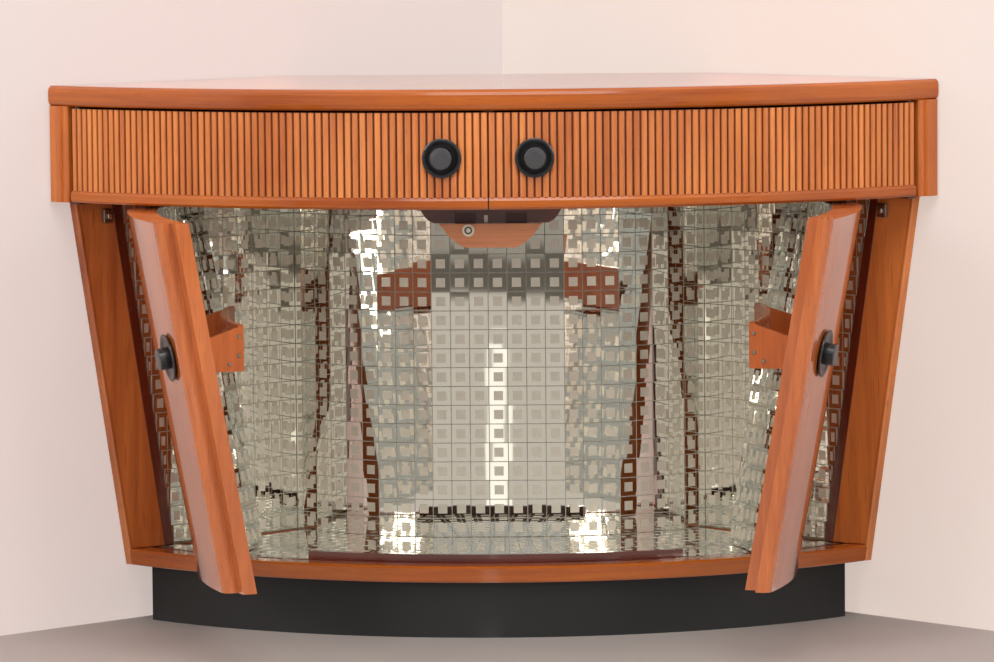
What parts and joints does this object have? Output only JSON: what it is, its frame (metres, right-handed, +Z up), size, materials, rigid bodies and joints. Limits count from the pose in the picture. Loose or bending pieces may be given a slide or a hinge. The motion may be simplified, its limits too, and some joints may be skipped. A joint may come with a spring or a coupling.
{
  "type": "corner bar cabinet",
  "caption": "Corner bar cabinet with a bowed, leaning front, reeded upper doors, curved lower doors opening on a mirrored interior, and a small fold out shelf leaf.",
  "frame": {"origin": "on the floor under the plinth rib, on the middle plane, 640 mm in front of the line where the two room walls meet", "axes": "+X to the viewer's right along the cabinet's width, +Y to the back into the room corner, +Z up"},
  "size_m": [1.5062, 0.9212, 0.928],
  "materials": {
    "plinth_paint": "matt black stained hardwood",
    "top_veneer": "polished reddish brown veneer, high gloss",
    "face_veneer": "polished orange brown veneer, high gloss",
    "reed_wood": "polished light orange reeding",
    "rail_wood": "polished orange brown hardwood",
    "jamb_wood": "polished dark reddish brown hardwood",
    "lip_wood": "dark red polished hardwood",
    "shelf_wood": "satin brown hardwood",
    "carcass_ply": "raw blockboard",
    "mirror_glass": "silvered glass with frosted grey squares",
    "strip_glass": "pale silvered strip",
    "black_gloss": "black lacquer, high gloss",
    "grey_button": "grey satin dome",
    "nickel": "nickel plate",
    "dark_steel": "dark oxidised steel"
  },
  "bodies": {
    "carcass": {"plinth_front": "plinth_paint", "plinth_boards": "plinth_paint", "plinth_rib": "plinth_paint", "carcass_floor": "carcass_ply", "bottom_rail": "rail_wood", "sill_strip": "strip_glass", "floor_lip": "lip_wood", "floor_mirror": "mirror_glass", "back_mirrors": "mirror_glass", "back_drum": "carcass_ply", "back_panel": "carcass_ply", "side_panel_left": "face_veneer", "side_panel_right": "face_veneer", "side_mirror_left": "mirror_glass", "side_mirror_right": "mirror_glass", "edge_strip_left": "jamb_wood", "edge_strip_right": "jamb_wood", "jamb_left": "jamb_wood", "jamb_right": "jamb_wood", "jamb_beads": "lip_wood", "jamb_catches": "nickel", "divider_board": "shelf_wood", "pivot_plates": "dark_steel", "upper_sides": "face_veneer", "upper_back": "carcass_ply", "upper_partition": "carcass_ply", "top_board": "top_veneer", "top_moulding": "rail_wood", "end_stile_left": "rail_wood", "end_stile_right": "rail_wood", "shelf_bracket": "lip_wood", "shelf_hinge": "dark_steel"},
    "lower_door_left_leaf": {"lower_door_left": "face_veneer", "lower_stile_left": "rail_wood", "lower_pivot_left": "dark_steel", "lower_rosette_left": "black_gloss", "lower_button_left": "grey_button", "holder_left": "face_veneer", "holder_screws_left": "nickel"},
    "lower_door_right_leaf": {"lower_door_right": "face_veneer", "lower_stile_right": "rail_wood", "lower_pivot_right": "dark_steel", "lower_rosette_right": "black_gloss", "lower_button_right": "grey_button", "holder_right": "face_veneer", "holder_screws_right": "nickel"},
    "upper_door_left": {"upper_panel_left": "rail_wood", "upper_reeds_left": "reed_wood", "upper_rail_left": "rail_wood", "upper_pivot_left": "dark_steel", "upper_rosette_left": "black_gloss", "upper_button_left": "grey_button"},
    "upper_door_right": {"upper_panel_right": "rail_wood", "upper_reeds_right": "reed_wood", "upper_rail_right": "rail_wood", "upper_pivot_right": "dark_steel", "upper_rosette_right": "black_gloss", "upper_button_right": "grey_button"},
    "shelf": {"shelf_leaf": "shelf_wood", "leaf_fittings": "nickel"}
  },
  "joints": [
    {"name": "lower_left_swing", "type": "hinge", "parent": "carcass", "child": "lower_door_left_leaf", "pos_m": [-0.46237, -0.12047, 0.43], "axis": [0, 0, 1], "range_deg": [-13.2, 66.8]},
    {"name": "lower_right_swing", "type": "hinge", "parent": "carcass", "child": "lower_door_right_leaf", "pos_m": [0.46237, -0.12047, 0.43], "axis": [0, 0, -1], "range_deg": [-9.5, 70.5]},
    {"name": "upper_left_swing", "type": "hinge", "parent": "carcass", "child": "upper_door_left", "pos_m": [-0.70024, -0.14174, 0.82], "axis": [0, 0, -1], "range_deg": [0, 90]},
    {"name": "upper_right_swing", "type": "hinge", "parent": "carcass", "child": "upper_door_right", "pos_m": [0.70024, -0.14174, 0.82], "axis": [0, 0, 1], "range_deg": [0, 90]},
    {"name": "shelf_fold", "type": "hinge", "parent": "carcass", "child": "shelf", "pos_m": [0, -0.2883, 0.698], "axis": [-1, 0, 0], "range_deg": [0, 90]}
  ]
}
